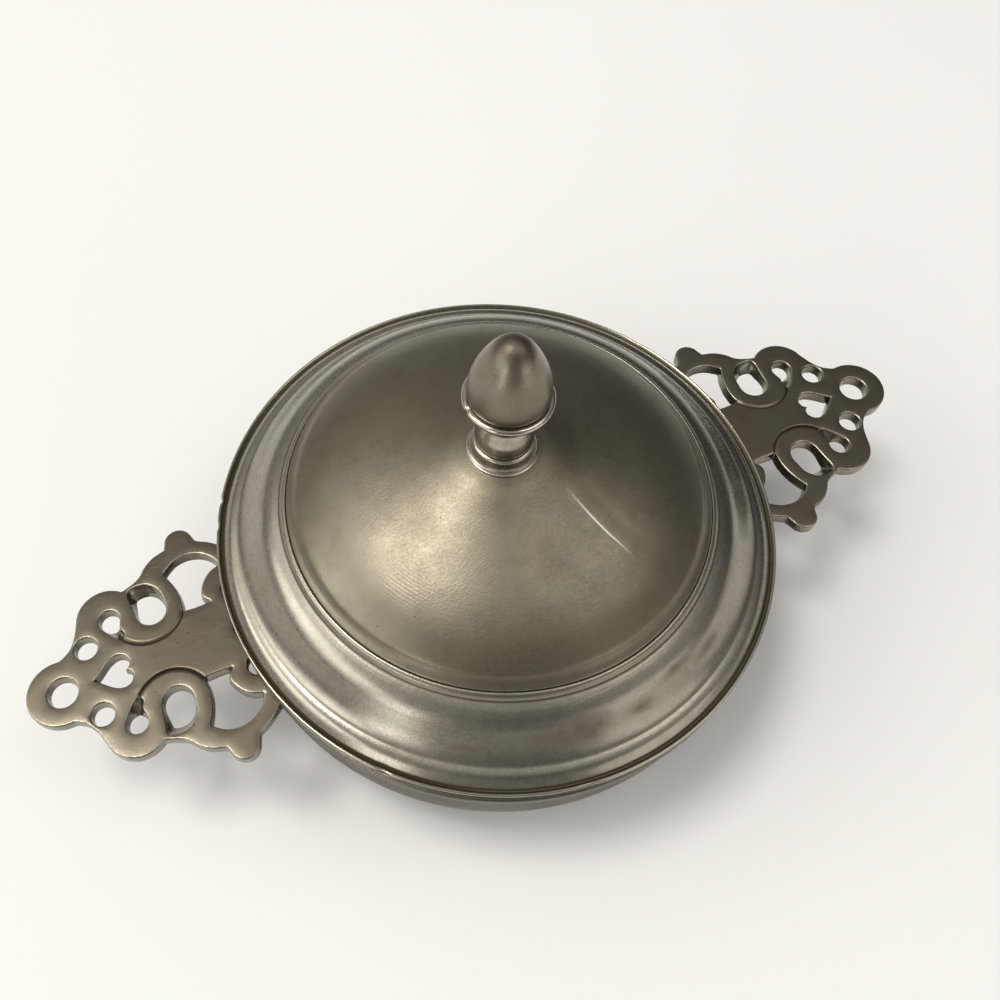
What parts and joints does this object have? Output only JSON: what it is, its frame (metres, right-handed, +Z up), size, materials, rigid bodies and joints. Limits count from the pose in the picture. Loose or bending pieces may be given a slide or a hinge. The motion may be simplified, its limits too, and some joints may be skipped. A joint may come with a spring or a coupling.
{
  "type": "lidded porringer",
  "caption": "Shallow round metal bowl with a pierced flat ear on each side and a loose domed lid that lifts off by an acorn finial.",
  "frame": {"origin": "middle of the bowl's flat base, on the surface that the bowl stands on", "axes": "+X through the ears, +Z up along the bowl's axis, +Y across the ears"},
  "size_m": [0.2734, 0.1604, 0.1273],
  "materials": {
    "pewter": "turned pewter with an old grey-brown patina",
    "cast_pewter": "cast pewter, softly worn, darker in its creases",
    "polished_pewter": "handled pewter, smoother and a little brighter",
    "screw_brass": "dull brass"
  },
  "bodies": {
    "bowl": {"bowl": "pewter", "ear_right": "cast_pewter", "ear_left": "cast_pewter"},
    "lid": {"lid": "pewter", "lid_bezel": "pewter", "finial_stem": "polished_pewter", "finial_acorn": "polished_pewter", "finial_washer": "screw_brass", "finial_screw": "screw_brass"}
  },
  "joints": [
    {"name": "lid_lift", "type": "slide", "parent": "bowl", "child": "lid", "axis": [0, 0, 1], "range_m": [0, 0.1]}
  ]
}
